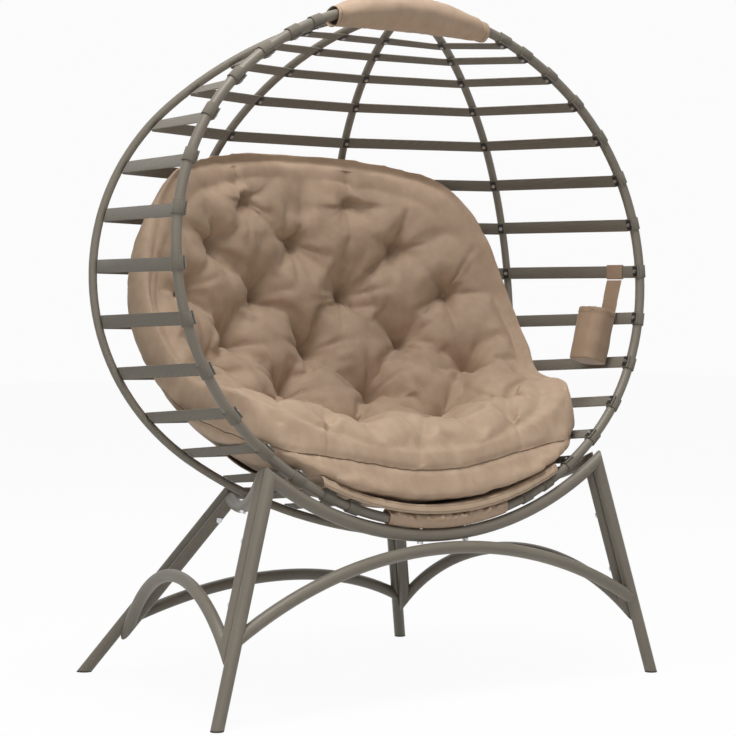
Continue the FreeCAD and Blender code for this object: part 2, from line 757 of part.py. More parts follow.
def cushion():
    frames = cushion_frames()
    sections = [cushion_section(frame) for frame in frames]
    body = Part.makeLoft(sections, True, False, False, LOFT_DEGREE)
    ball = (TUFT_RADIUS ** 2 + TUFT_DEPTH ** 2) / (2 * TUFT_DEPTH)
    dimples = []
    for station, out in TUFTS:
        for side in ((1, -1) if out else (1,)):
            point, facing = upper_spot(frames[station], side * out)
            dimples.append(Part.makeSphere(ball, point + facing * (ball - TUFT_DEPTH)))
    return biggest(drill(body, dimples))


def panel_section(frame):
    """Thin curved strip under a cushion station."""
    origin, normal, half, rise, thick = frame

    def at(x, y):
        return origin + V(x, 0, 0) + normal * (y - PANEL_DROP)

    upper = [at(-half, rise), at(0, 0), at(half, rise)]
    lower = [at(half, rise - PANEL_THICK), at(0, -PANEL_THICK), at(-half, rise - PANEL_THICK)]
    ends = [Part.makeLine(upper[2], lower[0]), Part.makeLine(lower[2], upper[0])]
    return Part.Wire([arc3(*upper), ends[0], arc3(*lower), ends[1]])


def seat_panel():
    """Sheet under the cushion, cut straight at its front, at both sides and behind the seat."""
    frames = cushion_frames()
    sheet = Part.makeLoft([panel_section(frame) for frame in frames], True, False, False, LOFT_DEGREE)
    before, hem, after = (frames[PANEL_STATIONS + step][0] for step in (-2, -1, 0))
    sheet = sheet.cut(half_space(hem, (after - before).normalize()))
    sheet = sheet.cut(half_space(V(0, PANEL_FRONT, 0), V(0, -1, 0)))
    for side in (1, -1):
        sheet = sheet.cut(half_space(V(side * PANEL_HALF, 0, 0), V(side, 0, 0)))
    return biggest(sheet)


def strap_span(index):
    """Ends of the strap's last span, from the right side rib to the ring, and its inward normal."""
    rib, ring = strap_stations(index)[-2:]
    begin = rib[0] + rib[1] * rib[4]
    end = ring[0] - ring[1] * ring[4]
    normal = (rib[3] + ring[3]).normalize()
    along = (begin - end).normalize()
    normal = (normal - along * normal.dot(along)).normalize()
    return begin, end, along, normal


def pocket_frame():
    """Hinge point, direction along the strap, down the pocket's back and into the ball."""
    middle = (STRAP_COUNT - 1) // 2
    begin, end, along, normal = strap_span(middle)
    centre = end + along * POCKET_FROM_RING
    width_way = normal.cross(along)
    if width_way.z < 0:
        width_way = width_way * -1
    loop_half = STRAP_WIDTH / 2 + LOOP_SLACK + TAB_THICK
    loop_face = STRAP_THICK / 2 + LOOP_SLACK + TAB_THICK
    hinge = centre - width_way * (loop_half + SKIN) + normal * loop_face
    low_begin, low_end, low_along, low_normal = strap_span(middle + 2)
    touch = low_end + low_along * POCKET_FROM_RING
    touch = touch + low_normal * (STRAP_THICK / 2 + POCKET_STANDOFF + TAB_THICK)
    touch = touch - width_way * (STRAP_WIDTH / 2)
    down = touch - hinge
    down = (down - along * down.dot(along)).normalize()
    inward = down.cross(along)
    if inward.dot(normal) < 0:
        inward = inward * -1
    return centre, width_way, normal, hinge, along, down, inward


def pocket_loop():
    centre, width_way, normal, hinge, along, down, inward = pocket_frame()
    tall = STRAP_WIDTH + 2 * LOOP_SLACK
    deep = STRAP_THICK + 2 * LOOP_SLACK
    outer = block(centre, along, width_way, (TAB_WIDTH, tall + 2 * TAB_THICK, deep + 2 * TAB_THICK))
    return outer.cut(block(centre, along, width_way, (2 * TAB_WIDTH, tall, deep)))


def pouch_block(frame, inset, top, bottom):
    """Upright rounded block in the pocket's frame, from one drop to another."""
    hinge, along, down, inward = frame
    centre = hinge + down * ((top + bottom) / 2) + inward * (POCKET_DEPTH / 2 - TAB_THICK)
    size = (bottom - top, POCKET_WIDTH - 2 * inset, POCKET_DEPTH - 2 * inset)
    body = block(centre, down, along, size)
    uprights = [edge for edge in body.Edges if abs(edge.tangentAt(0).dot(down)) > 0.9]
    return body.makeFillet(POCKET_ROUND - inset, uprights)


def pocket():
    centre, width_way, normal, *frame = pocket_frame()
    hinge, along, down, inward = frame
    pouch = pouch_block(frame, 0.0, POCKET_DROP, POCKET_DROP + POCKET_HEIGHT)
    floor = POCKET_DROP + POCKET_HEIGHT - POCKET_WALL
    pouch = pouch.cut(pouch_block(frame, POCKET_WALL, POCKET_DROP - POCKET_HEIGHT, floor))
    tab_low = POCKET_DROP + POCKET_HEIGHT / 4
    tab_centre = hinge + down * ((SKIN + tab_low) / 2) - inward * (TAB_THICK / 2)
    tab = block(tab_centre, down, along, (tab_low - SKIN, TAB_WIDTH, TAB_THICK))
    return pouch.fuse(tab).removeSplitter()


def build_soft(parts, holes):
    parts["top_sleeve"] = lean(top_sleeve())
    parts["bottom_sleeve"] = drill(lean(bottom_sleeve()), holes.get("bottom_sleeve"))
    parts["seat_panel"] = lean(seat_panel())
    parts["cushion"] = lean(cushion())
    parts["pocket_loop"] = lean(pocket_loop())
    parts["bottle_pocket"] = lean(pocket())


def rails_of():
    """Centre lines of the ring and of the ribs in their place on the base."""
    ring = Part.makeCompound(RING_LEFT.edges(0.0) + RING_RIGHT.edges(0.0))
    rails = {"ring": lean(ring)}
    for name, hoop in RIBS.items():
        key = name.replace("rib_", "")
        rails[key] = lean(Part.makeCompound(hoop.edges(HUB_RADIUS)))
    rails["back"] = Part.makeCompound([rails["back_left"], rails["back_right"]])
    return rails


def main():
    parts = {}
    rails = rails_of()
    holes = build_base(parts, rails)
    build_ball(parts, holes)
    build_soft(parts, holes)
    stance = parts["foot_plugs"].BoundBox
    shift = V(0, -(stance.YMin + stance.YMax) / 2, 0)
    os.makedirs("parts", exist_ok=True)
    for name, shape in parts.items():
        shape = shape.copy()
        shape.translate(shift)
        shape.exportStep("parts/%s.step" % name)
        print(name, len(shape.Solids), round(shape.Volume), shape.isValid())
    hinge, along, down, inward = pocket_frame()[3:]
    turn = FreeCAD.Rotation(V(1, 0, 0), -BALL_LEAN)
    print("pocket hinge", lean_point(hinge) + shift, "axis", turn.multVec(down.cross(inward)))
    print("pocket down", turn.multVec(down), "inward", turn.multVec(inward), "shift", shift)


main()
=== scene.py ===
"""Round lounge chair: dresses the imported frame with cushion, cloth, webbing, finishes, light and camera."""

import json
import math

import bmesh
import bpy
import numpy as np
from mathutils import Matrix, Vector, noise
from mathutils.bvhtree import BVHTree
from mathutils.kdtree import KDTree


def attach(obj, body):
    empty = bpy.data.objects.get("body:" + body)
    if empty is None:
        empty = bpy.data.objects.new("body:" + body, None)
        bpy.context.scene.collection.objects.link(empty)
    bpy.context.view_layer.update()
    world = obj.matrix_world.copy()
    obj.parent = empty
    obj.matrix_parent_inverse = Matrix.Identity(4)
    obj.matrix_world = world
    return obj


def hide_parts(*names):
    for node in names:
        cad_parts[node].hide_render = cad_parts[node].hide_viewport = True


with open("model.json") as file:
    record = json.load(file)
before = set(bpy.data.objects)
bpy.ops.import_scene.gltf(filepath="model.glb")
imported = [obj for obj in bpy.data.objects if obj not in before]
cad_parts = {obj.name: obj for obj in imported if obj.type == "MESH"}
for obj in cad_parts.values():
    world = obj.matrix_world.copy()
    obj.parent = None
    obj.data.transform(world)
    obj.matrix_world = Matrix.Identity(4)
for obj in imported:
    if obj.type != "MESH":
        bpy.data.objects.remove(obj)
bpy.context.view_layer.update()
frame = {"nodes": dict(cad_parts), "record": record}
nodes = frame["nodes"]

# Where the ball stands, in metres, and how it leans back on its base
MM = 0.001
BALL_CENTRE = Vector((0.0, -0.2586, 0.82))
BALL_LEAN = math.radians(6.0)
PLACE = Matrix.Translation(BALL_CENTRE) @ Matrix.Rotation(-BALL_LEAN, 4, "X")
UNPLACE = PLACE.inverted()

# The hoop, in the ball's own millimetres
HOOP_HALF_HEIGHT = 490.0
HOOP_CROWN_RADIUS = 618.0
HOOP_TUBE_RADIUS = 9.5

# Buttons of the cushion in the ball's own millimetres, in rows with their lean and
# the share of the full pull; each button off the middle has a twin
BUTTON_ROWS = (
    (0.0, 0.45, ((0, 45, -334), (200, 45, -304))),
    (0.0, 1.0, ((105, 130, -311), (265, 130, -263))),
    (32.7, 1.0, ((0, 247, -286), (205, 229, -258))),
    (49.5, 1.0, ((105, 325, -203), (310, 270, -157))),
    (68.8, 1.0, ((0, 380, -118), (210, 348, -106))),
    (88.9, 1.0, ((105, 392, -17), (310, 324, -15))),
    (106.9, 1.0, ((0, 396, 81), (200, 367, 72))),
    (120.2, 1.0, ((105, 380, 154),)),
)
# The cushion's bend from side to side, in millimetres, and the dimple cut for each packed tuft, in metres
CUSHION_BEND = 655.0
TUFT_RADIUS = 0.046
TUFT_DEPTH = 0.020
# How the cushion's mesh is made even, rounded at its edges and blown up
CUSHION_VOXEL = 0.0105
CUSHION_ROUNDING = 18
CUSHION_SHRINK = 0.007
SWELL_UPPER = 0.030
SWELL_UNDER = 0.006
SIM_FRAMES = 20
# How far a button draws the cloth in before and after the air, how wide the pull is, the patch that is held,
# and how far over or under the button cloth still belongs to it
START_PULL = 0.042
START_WIDTH = 0.030
BUTTON_PULL = 0.016
BUTTON_WIDTH = 0.010
BUTTON_HOLD = 0.011
BUTTON_SIGHT = 0.08
# Folds that run out from a button, creases between buttons that are within reach, and the slack of the cloth
WRINKLE_HEIGHT = 0.0080
WRINKLE_PEAK = 0.026
CREASE_REACH = 0.19
CREASE_DEPTH = 0.010
CREASE_WIDTH = 0.014
CREASE_SIGHT = 0.09
SLACK_HEIGHT = 0.0030
SLACK_PER_METRE = 11.0
# The filled front of the seat and the loose top that leans apart
FRONT_REACH = 0.26
FRONT_RAMP = 0.22
FRONT_TOP = -0.10
FRONT_LIFT = 0.045
FRONT_WIDEN = 0.07
SPREAD_SHARE = 0.20
SPREAD_FROM = -0.06
SPREAD_OVER = 0.30
# The seam round the rim, its route in the ball's own millimetres, and the pleats beside it in metres
SEAM_OVER_EDGE = 58.0
SEAM_SIDE_START = 130.0
SEAM_SIDE_HEIGHT = -290.0
SEAM_ARC_BACK = 60.0
SEAM_ARC_RADIUS = 298.0
SEAM_EDGE_START = 15.0
OUTSIDE = 900.0
SEAM_DEPTH = 0.0045
SEAM_WIDTH = 0.007
SEAM_THREAD_RADIUS = 0.0009
SEAM_STEP = 0.004
PLEAT_HEIGHT = 0.0050
PLEAT_REACH = 0.045
PLEATS_PER_METRE = 34.0
PLEAT_ABOVE = 0.35

# Pocket: the way down at rest, how far under the hinge its mouth is, the hem of the mouth and the slack below
POCKET_DOWN = Vector((-0.2770, -0.0267, -0.9605))
POCKET_MOUTH = 0.076
POCKET_VOXEL = 0.0016
LOOP_VOXEL = 0.0012
POCKET_HEM = 0.011
POCKET_HEM_THICK = 0.0008
POCKET_SLACK = 0.0014
POCKET_SLACK_START = 0.03


def in_ball(x, y, z):
    """A point in the ball's own millimetres, placed in the chair."""
    return PLACE @ (Vector((x, y, z)) * MM)


def eased(share):
    """A share from 0 to 1 with a soft start and end."""
    return share * share * (3 - 2 * share)


def linear(text):
    """A hex sRGB colour as linear light."""
    parts = [int(text[i:i + 2], 16) / 255 for i in (1, 3, 5)]
    return (*[c / 12.92 if c <= 0.04045 else ((c + 0.055) / 1.055) ** 2.4 for c in parts], 1.0)


def add(tree, kind, inputs=(), **settings):
    """Add a node, set its properties, and set or link its inputs."""
    made = tree.nodes.new(kind)
    for name, value in settings.items():
        setattr(made, name, value)
    for name, value in dict(inputs).items():
        if isinstance(value, bpy.types.NodeSocket):
            tree.links.new(value, made.inputs[name])
        else:
            made.inputs[name].default_value = value
    return made


def new_material(name):
    material = bpy.data.materials.new(name)
    material.use_nodes = True
    material.node_tree.nodes.clear()
    return material, material.node_tree


def close_material(tree, inputs):
    shader = add(tree, "ShaderNodeBsdfPrincipled", inputs)
    add(tree, "ShaderNodeOutputMaterial", {"Surface": shader.outputs[0]})


def powder_coated_steel():
    """Steel tube with a baked powder coat: satin, faintly pebbled, a little uneven in tone."""
    material, tree = new_material("powder_coated_steel")
    place = add(tree, "ShaderNodeTexCoord").outputs["Object"]
    cloud = add(tree, "ShaderNodeTexNoise", {"Vector": place, "Scale": 9.0, "Detail": 3.0})
    # The pebble of a powder coat is about 1.5 mm across
    pebble = add(tree, "ShaderNodeTexNoise", {"Vector": place, "Scale": 650.0, "Detail": 2.0})
    tone = add(tree, "ShaderNodeMix", {0: cloud.outputs[0], 6: linear("#70695d"), 7: linear("#80786b")},
               data_type="RGBA")
    shades = {0: pebble.outputs[0], 6: (0.92, 0.92, 0.92, 1), 7: (1.06, 1.06, 1.06, 1)}
    speck = add(tree, "ShaderNodeMix", shades, data_type="RGBA")
    base = add(tree, "ShaderNodeMix", {0: 1.0, 6: tone.outputs[2], 7: speck.outputs[2]},
               data_type="RGBA", blend_type="MULTIPLY")
    rough = add(tree, "ShaderNodeMapRange", {0: pebble.outputs[0], 3: 0.40, 4: 0.56})
    bump = add(tree, "ShaderNodeBump", {"Height": pebble.outputs[0], "Strength": 0.22, "Distance": 0.0004})
    close_material(tree, {"Base Color": base.outputs[2], "Roughness": rough.outputs[0],
                          "Normal": bump.outputs[0], "IOR": 1.5})
    return material


def polyester_webbing():
    """Flat woven polyester belt: ribs along its length, a fine cross weave and a firmer selvedge."""
    material, tree = new_material("polyester_webbing")
    place = add(tree, "ShaderNodeUVMap", uv_map="weave").outputs[0]
    # Ribs are about 3 mm apart and picks 2.4 mm, drawn coarse enough to show
    ribs = add(tree, "ShaderNodeTexWave", {"Vector": place, "Scale": 105.0, "Distortion": 0.6},
               bands_direction="Y")
    picks = add(tree, "ShaderNodeTexWave", {"Vector": place, "Scale": 130.0, "Distortion": 0.8},
                bands_direction="X")
    fuzz = add(tree, "ShaderNodeTexNoise", {"Vector": place, "Scale": 420.0, "Detail": 3.0})
    weave = add(tree, "ShaderNodeMath", {0: ribs.outputs["Fac"], 1: picks.outputs["Fac"]},
                operation="MULTIPLY")
    height = add(tree, "ShaderNodeMath", {0: weave.outputs[0], 1: fuzz.outputs[0]}, operation="ADD")
    base = add(tree, "ShaderNodeMix", {0: weave.outputs[0], 6: linear("#6d665a"), 7: linear("#7e776a")},
               data_type="RGBA")
    bump = add(tree, "ShaderNodeBump", {"Height": height.outputs[0], "Strength": 0.35, "Distance": 0.0008})
    close_material(tree, {"Base Color": base.outputs[2], "Roughness": 0.82, "Normal": bump.outputs[0],
                          "Sheen Weight": 0.15, "IOR": 1.5})
    return material


def woven_polyester(name, dark, light, sheen, stitches=()):
    """Plain-woven polyester: fine thread grain, soft sheen, stitch rows at given distances from a hem."""
    material, tree = new_material(name)
    place = add(tree, "ShaderNodeTexCoord").outputs["Object"]
    # Threads are about 0.5 mm, drawn at 2 mm so that they show
    thread = {"Vector": place, "Scale": 155.0, "Distortion": 1.5, "Detail": 1.0}
    warp = add(tree, "ShaderNodeTexWave", thread, bands_direction="X")
    weft = add(tree, "ShaderNodeTexWave", thread, bands_direction="Z")
    slub = add(tree, "ShaderNodeTexNoise", {"Vector": place, "Scale": 34.0, "Detail": 4.0})
    grain = add(tree, "ShaderNodeTexNoise", {"Vector": place, "Scale": 700.0, "Detail": 2.0})
    threads = add(tree, "ShaderNodeMath", {0: warp.outputs["Fac"], 1: weft.outputs["Fac"]}, operation="ADD")
    height = add(tree, "ShaderNodeMath", {0: threads.outputs[0], 1: 0.35, 2: grain.outputs[0]},
                 operation="MULTIPLY_ADD")
    tone = add(tree, "ShaderNodeMapRange", {0: slub.outputs[0], 1: 0.3, 2: 0.7})
    colour = add(tree, "ShaderNodeMix", {0: tone.outputs[0], 6: linear(dark), 7: linear(light)},
                 data_type="RGBA").outputs[2]
    level = height.outputs[0]
    hem = add(tree, "ShaderNodeAttribute", attribute_name="hem").outputs["Fac"]
    dash = add(tree, "ShaderNodeTexWave", {"Vector": place, "Scale": 62.0}, bands_direction="X")
    dash = dash.outputs["Fac"]
    for gap in stitches:
        # A thread row 1.6 mm wide, in stitches about 5 mm long
        row = add(tree, "ShaderNodeMath", {0: hem, 1: gap, 2: 0.0008}, operation="COMPARE")
        stitch = add(tree, "ShaderNodeMath", {0: row.outputs[0], 1: dash}, operation="MULTIPLY")
        colour = add(tree, "ShaderNodeMix", {0: stitch.outputs[0], 6: colour, 7: linear("#6d5844")},
                     data_type="RGBA").outputs[2]
        level = add(tree, "ShaderNodeMath", {0: row.outputs[0], 1: -2.0, 2: level},
                    operation="MULTIPLY_ADD").outputs[0]
    bump = add(tree, "ShaderNodeBump", {"Height": level, "Strength": 0.16, "Distance": 0.0006})
    close_material(tree, {"Base Color": colour, "Roughness": 0.7, "Normal": bump.outputs[0],
                          "Sheen Weight": sheen, "Sheen Roughness": 0.4, "IOR": 1.48})
    return material


def moulded_plastic(name, dark, light, roughness):
    """Injection-moulded plastic with a fine spark-eroded grain."""
    material, tree = new_material(name)
    place = add(tree, "ShaderNodeTexCoord").outputs["Object"]
    grain = add(tree, "ShaderNodeTexNoise", {"Vector": place, "Scale": 900.0, "Detail": 2.0})
    base = add(tree, "ShaderNodeMix", {0: grain.outputs[0], 6: linear(dark), 7: linear(light)},
               data_type="RGBA")
    bump = add(tree, "ShaderNodeBump", {"Height": grain.outputs[0], "Strength": 0.2, "Distance": 0.0003})
    close_material(tree, {"Base Color": base.outputs[2], "Roughness": roughness, "Normal": bump.outputs[0],
                          "IOR": 1.5})
    return material


def zinc_plate():
    """Bright zinc plating on small screws and bolts: metallic, slightly cloudy."""
    material, tree = new_material("zinc_plate")
    place = add(tree, "ShaderNodeTexCoord").outputs["Object"]
    cloud = add(tree, "ShaderNodeTexNoise", {"Vector": place, "Scale": 320.0, "Detail": 3.0})
    base = add(tree, "ShaderNodeMix", {0: cloud.outputs[0], 6: linear("#bfc1c4"), 7: linear("#dcdcdd")},
               data_type="RGBA")
    rough = add(tree, "ShaderNodeMapRange", {0: cloud.outputs[0], 3: 0.22, 4: 0.4})
    close_material(tree, {"Base Color": base.outputs[2], "Roughness": rough.outputs[0], "Metallic": 1.0})
    return material


COAT = powder_coated_steel()
WEBBING = polyester_webbing()
CUSHION_CLOTH = woven_polyester("cushion_woven_polyester", "#ab9179", "#b79e86", 0.10)
PANEL_CLOTH = woven_polyester("panel_woven_polyester", "#b1987f", "#bca48c", 0.10, (0.004, 0.0135))
SLEEVE_CLOTH = woven_polyester("sleeve_woven_polyester", "#ad937b", "#b89f88", 0.10, (0.007,))
POCKET_CLOTH = woven_polyester("pocket_woven_polyester", "#937a63", "#9f866f", 0.20, (0.007,))
SEAM_THREAD = moulded_plastic("seam_thread", "#6b5643", "#7d6853", 0.8)
CLIP_PLASTIC = moulded_plastic("clip_plastic", "#1d1c1e", "#2c2b2d", 0.45)
FOOT_PLASTIC = moulded_plastic("foot_plastic", "#221e1b", "#302b27", 0.6)
ZINC = zinc_plate()

SLOT_FINISH = {"painted_tube": COAT, "clip_black": CLIP_PLASTIC, "bright_screw": ZINC,
               "foot_plastic": FOOT_PLASTIC, "joiner_plastic": FOOT_PLASTIC}


def wear(piece, material):
    piece.data.materials.clear()
    piece.data.materials.append(material)


def new_piece(name, mesh):
    piece = bpy.data.objects.new(name, mesh)
    bpy.context.scene.collection.objects.link(piece)
    return piece


def from_bmesh(name, shell):
    mesh = bpy.data.meshes.new(name)
    shell.to_mesh(mesh)
    shell.free()
    return new_piece(name, mesh)


def merged_copy(node):
    """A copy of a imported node's mesh with its loose triangles joined."""
    shell = bmesh.new()
    shell.from_mesh(nodes[node].data)
    bmesh.ops.remove_doubles(shell, verts=shell.verts, dist=0.00003)
    return shell


def apply_modifiers(piece):
    depsgraph = bpy.context.evaluated_depsgraph_get()
    mesh = bpy.data.meshes.new_from_object(piece.evaluated_get(depsgraph))
    piece.modifiers.clear()
    piece.data = mesh


def smooth(piece):
    piece.data.polygons.foreach_set("use_smooth", [True] * len(piece.data.polygons))


def remeshed(name, node, voxel):
    piece = from_bmesh(name, merged_copy(node))
    piece.modifiers.new("even", "REMESH").voxel_size = voxel
    apply_modifiers(piece)
    smooth(piece)
    return piece


def points_of(mesh, what="co"):
    flat = np.empty(len(mesh.vertices) * 3)
    mesh.vertices.foreach_get(what, flat)
    return flat.reshape(-1, 3)


def set_points(mesh, points):
    mesh.vertices.foreach_set("co", np.asarray(points, dtype=float).ravel())
    mesh.update()


def rounded(piece, times):
    """Smooth a piece's mesh a number of times."""
    shell = bmesh.new()
    shell.from_mesh(piece.data)
    for _ in range(times):
        bmesh.ops.smooth_vert(shell, verts=shell.verts, factor=0.5,
                              use_axis_x=True, use_axis_y=True, use_axis_z=True)
    shell.to_mesh(piece.data)
    shell.free()


def finish_piece(piece, body, slot, material, *replaced):
    wear(piece, material)
    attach(piece, body)
    if replaced:
        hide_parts(*replaced)
    return piece


def button_places():
    """Point, facing and share of the full pull of every button of the cushion."""
    places = []
    for lean, share, row in BUTTON_ROWS:
        slope = math.radians(lean)
        for x, y, z in row:
            for side in ((1, -1) if x else (1,)):
                aside = side * x / CUSHION_BEND
                level = math.sqrt(1 - aside * aside)
                facing = Vector((-aside, -math.sin(slope) * level, math.cos(slope) * level))
                places.append((in_ball(side * x, y, z), PLACE.to_3x3() @ facing, share))
    return places


def around_button(points, spot, facing):
    """How far points lie above a button's seat, and their offsets beside its axis."""
    offset = points - np.array(spot)
    depth = offset @ np.array(facing)
    return depth, offset - depth[:, None] * np.array(facing)


def spread_top(points):
    """Let the loose top of the cushion lean apart along the ball, more towards its upper edge."""
    local = points @ np.array(UNPLACE.to_3x3()).T + np.array(UNPLACE.translation)
    share = np.clip((local[:, 2] - SPREAD_FROM) / SPREAD_OVER, 0.0, 1.0)
    turn = np.arctan2(local[:, 0], local[:, 1]) * (1 + SPREAD_SHARE * eased(share))
    reach = np.hypot(local[:, 0], local[:, 1])
    local = np.stack((reach * np.sin(turn), reach * np.cos(turn), local[:, 2]), axis=1)
    return local @ np.array(PLACE.to_3x3()).T + np.array(PLACE.translation)


def level_dimples(points, buttons):
    """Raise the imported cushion's round dimples to the face around them."""
    ball = (TUFT_RADIUS ** 2 + TUFT_DEPTH ** 2) / (2 * TUFT_DEPTH)
    for spot, facing, _ in buttons:
        depth, flat = around_button(points, spot, facing)
        out = np.linalg.norm(flat, axis=1)
        dimple = np.sqrt(np.maximum(ball ** 2 - out ** 2, 0.0)) - (ball - TUFT_DEPTH)
        lift = np.where(np.abs(depth) < 2 * TUFT_DEPTH, np.maximum(dimple, 0.0), 0.0)
        points = points + lift[:, None] * np.array(facing)
    return points


def pull_tufts(points, buttons):
    """Draw the cloth down to each button in a wide point, ready to be blown up round it."""
    for spot, facing, share in buttons:
        depth, flat = around_button(points, spot, facing)
        pull = START_PULL * share * np.exp(-np.linalg.norm(flat, axis=1) / START_WIDTH)
        points = points - np.where(np.abs(depth) < 2 * START_PULL, pull, 0.0)[:, None] * np.array(facing)
    return points


def two_noises(spot, finer):
    """Noise with half as much of a finer noise on it."""
    return noise.noise(spot) + 0.5 * noise.noise(spot * finer)


def line_tree(line):
    """A search tree over a line of points, filled in at short steps."""
    spots = []
    for begin, end in zip(line, line[1:]):
        steps = max(1, round((end - begin).length / SEAM_STEP))
        spots += [begin.lerp(end, i / steps) for i in range(steps + 1)]
    tree = KDTree(len(spots))
    for index, spot in enumerate(spots):
        tree.insert(spot, index)
    tree.balance()
    return tree


def blow_up(piece, held):
    """Run a short cloth simulation with air inside; the held points stay where they are."""
    cloth = piece.modifiers.new("air", "CLOTH")
    settings = cloth.settings
    settings.quality = 5
    settings.mass = 0.3
    settings.tension_stiffness = 12.0
    settings.compression_stiffness = 12.0
    settings.shear_stiffness = 4.0
    settings.bending_stiffness = 0.4
    settings.use_pressure = True
    settings.uniform_pressure_force = 5.0
    settings.shrink_min = -0.07
    settings.vertex_group_mass = held.name
    settings.effector_weights.gravity = 0.0
    cloth.point_cache.frame_start = 1
    cloth.point_cache.frame_end = SIM_FRAMES
    for step in range(1, SIM_FRAMES + 1):
        bpy.context.scene.frame_set(step)
    apply_modifiers(piece)


def swell(piece, buttons):
    """Blow the cushion up while its buttons hold, and keep each point near where it began."""
    normals = points_of(piece.data, "normal")
    pulled = pull_tufts(points_of(piece.data), buttons)
    start = pulled - normals * CUSHION_SHRINK
    set_points(piece.data, start)
    held = piece.vertex_groups.new(name="buttons")
    for spot, facing, _ in buttons:
        depth, flat = around_button(pulled, spot, facing)
        near = (np.linalg.norm(flat, axis=1) < BUTTON_HOLD) & (np.abs(depth) < 2 * START_PULL)
        held.add([int(index) for index in np.flatnonzero(near)], 1.0, "REPLACE")
    blow_up(piece, held)
    moved = points_of(piece.data) - start
    away = pulled - np.array(BALL_CENTRE)
    away /= np.linalg.norm(away, axis=1, keepdims=True)
    # The underside is pressed on the straps, so it moves less than the sides and the face
    upper = np.clip((0.6 - (away * normals).sum(axis=1)) / 0.9, 0.0, 1.0)
    limit = SWELL_UNDER + (SWELL_UPPER - SWELL_UNDER) * eased(upper)
    length = np.maximum(np.linalg.norm(moved, axis=1), 1e-9)
    moved *= np.minimum(1.0, limit / length)[:, None]
    set_points(piece.data, start + moved)
    piece.vertex_groups.clear()


def sew(piece, buttons):
    """Pull in the buttons and fold the cloth round and between them."""
    mesh = piece.data
    points = points_of(mesh)
    normals = points_of(mesh, "normal")
    move = np.zeros_like(points)
    for index, (spot, facing, share) in enumerate(buttons):
        depth, flat = around_button(points, spot, facing)
        facing = np.array(facing)
        across = np.array(Vector(facing).orthogonal().normalized())
        along = np.cross(facing, across)
        out = np.linalg.norm(flat, axis=1)
        shown = (np.abs(depth) < BUTTON_SIGHT) & (normals @ facing > -0.3)
        turn = np.arctan2(flat @ along, flat @ across)
        waves = 4 + index % 3
        narrow = np.maximum(0.0, np.cos(waves * turn + 1.7 * index)) ** 6
        broad = np.cos((waves - 1) * turn + 0.9 * index)
        ring = out / WRINKLE_PEAK * np.exp(1 - out / WRINKLE_PEAK)
        fold = WRINKLE_HEIGHT * (0.5 * broad * ring ** 2 - narrow * ring)
        amount = fold - BUTTON_PULL * np.exp(-out / BUTTON_WIDTH)
        move += np.where(shown, amount * share, 0.0)[:, None] * facing
    for first, (begin, begin_facing, _) in enumerate(buttons):
        for second, (end, end_facing, _) in enumerate(buttons[:first]):
            run = np.array(end - begin)
            span = np.linalg.norm(run)
            if span > CREASE_REACH:
                continue
            offset = points - np.array(begin)
            share = np.clip(offset @ run / span ** 2, 0.0, 1.0)
            gap = offset - share[:, None] * run
            facing = np.array((begin_facing + end_facing).normalized())
            depth = gap @ facing
            flat = np.linalg.norm(gap - depth[:, None] * facing, axis=1)
            strength = 0.45 + 0.55 * np.abs(2 * share - 1)
            strength *= 0.6 + 0.4 * math.cos(2.3 * first + 1.1 * second)
            valley = CREASE_DEPTH * strength * np.exp(-(flat / CREASE_WIDTH) ** 2)
            shown = (np.abs(depth) < CREASE_SIGHT) & (normals @ facing > -0.2)
            move -= np.where(shown, valley, 0.0)[:, None] * facing
    for index, point in enumerate(points):
        slack = two_noises(Vector(point) * SLACK_PER_METRE, 2.6)
        move[index] += normals[index] * SLACK_HEIGHT * slack
    set_points(mesh, points + move)


def plump_front(piece):
    """Fill the front of the seat: its side grows taller and a little wider, the underside stays."""
    skin = BVHTree.FromObject(piece, bpy.context.evaluated_depsgraph_get())
    up = PLACE.to_3x3() @ Vector((0.0, 0.0, 1.0))
    points = points_of(piece.data)
    for index, point in enumerate(points):
        local = UNPLACE @ Vector(point)
        if local.y > FRONT_REACH or local.z > FRONT_TOP:
            continue
        low = skin.ray_cast(Vector(point) - up * 0.5, up)[0]
        tall = (Vector(point) - low).dot(up) if low else 0.0
        share = eased(min(1.0, (FRONT_REACH - local.y) / FRONT_RAMP))
        local.z += FRONT_LIFT * share * min(1.0, tall / FRONT_LIFT)
        local.x *= 1 + FRONT_WIDEN * share
        points[index] = PLACE @ local
    set_points(piece.data, points)


def rim_line(piece):
    """Points of the seam round the rim: down one side, round the front of the seat, up the other."""
    skin = BVHTree.FromObject(piece, bpy.context.evaluated_depsgraph_get())
    turn = PLACE.to_3x3()
    low = skin.ray_cast(in_ball(0.0, SEAM_EDGE_START, -OUTSIDE), turn @ Vector((0.0, 0.0, 1.0)))[0]
    front = (UNPLACE @ low).z / MM + SEAM_OVER_EDGE
    rays = []
    for angle in range(-90, 91, 2):
        aim = Vector((math.sin(math.radians(angle)), -math.cos(math.radians(angle)), 0.0))
        height = front + (SEAM_SIDE_HEIGHT - front) * abs(angle / 90) ** 3
        rays.append((aim * OUTSIDE + Vector((0.0, SEAM_SIDE_START, height)), -aim))
    for angle in range(16, 104, 2):
        y = SEAM_ARC_BACK + SEAM_ARC_RADIUS * math.sin(math.radians(angle))
        z = -SEAM_ARC_RADIUS * math.cos(math.radians(angle))
        rays.append((Vector((OUTSIDE, y, z)), Vector((-1.0, 0.0, 0.0))))
        rays.insert(0, (Vector((-OUTSIDE, y, z)), Vector((1.0, 0.0, 0.0))))
    hits = [skin.ray_cast(in_ball(*begin), turn @ aim)[0] for begin, aim in rays]
    return [place for place in hits if place]


